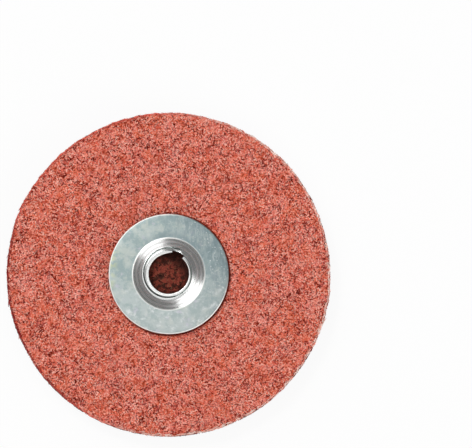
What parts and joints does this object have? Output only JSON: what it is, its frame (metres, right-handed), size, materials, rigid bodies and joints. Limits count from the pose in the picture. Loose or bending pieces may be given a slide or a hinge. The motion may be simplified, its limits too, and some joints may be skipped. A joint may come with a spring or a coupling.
{
  "type": "surface conditioning disc",
  "caption": "Round quick-change surface conditioning disc: maroon nonwoven abrasive web on a felt backing, with a bonded steel hub whose slit lip forms a female thread.",
  "frame": {"origin": "centre of the abrasive web's working face, at the bottom of the disc", "axes": "+Z along the hub's axis, out of the disc's back and out of the hub's mouth; +X and +Y in the plane of the disc, with the slit in the hub's lip 65 degrees from +X towards +Y"},
  "size_m": [0.0762, 0.0762, 0.0105],
  "materials": {
    "abrasive_web": "maroon nonwoven nylon web coated with resin and grain, matt and open",
    "backing_felt": "salmon needle-punched felt, mottled, short fibres",
    "hub_adhesive": "set amber adhesive",
    "metal_hub": "bright zinc plate, mottled on the flat flange and polished on the drawn boss"
  },
  "bodies": {
    "root": {"abrasive_web": "abrasive_web", "felt_backing": "backing_felt", "hub_adhesive": "hub_adhesive", "metal_hub": "metal_hub"}
  },
  "joints": []
}
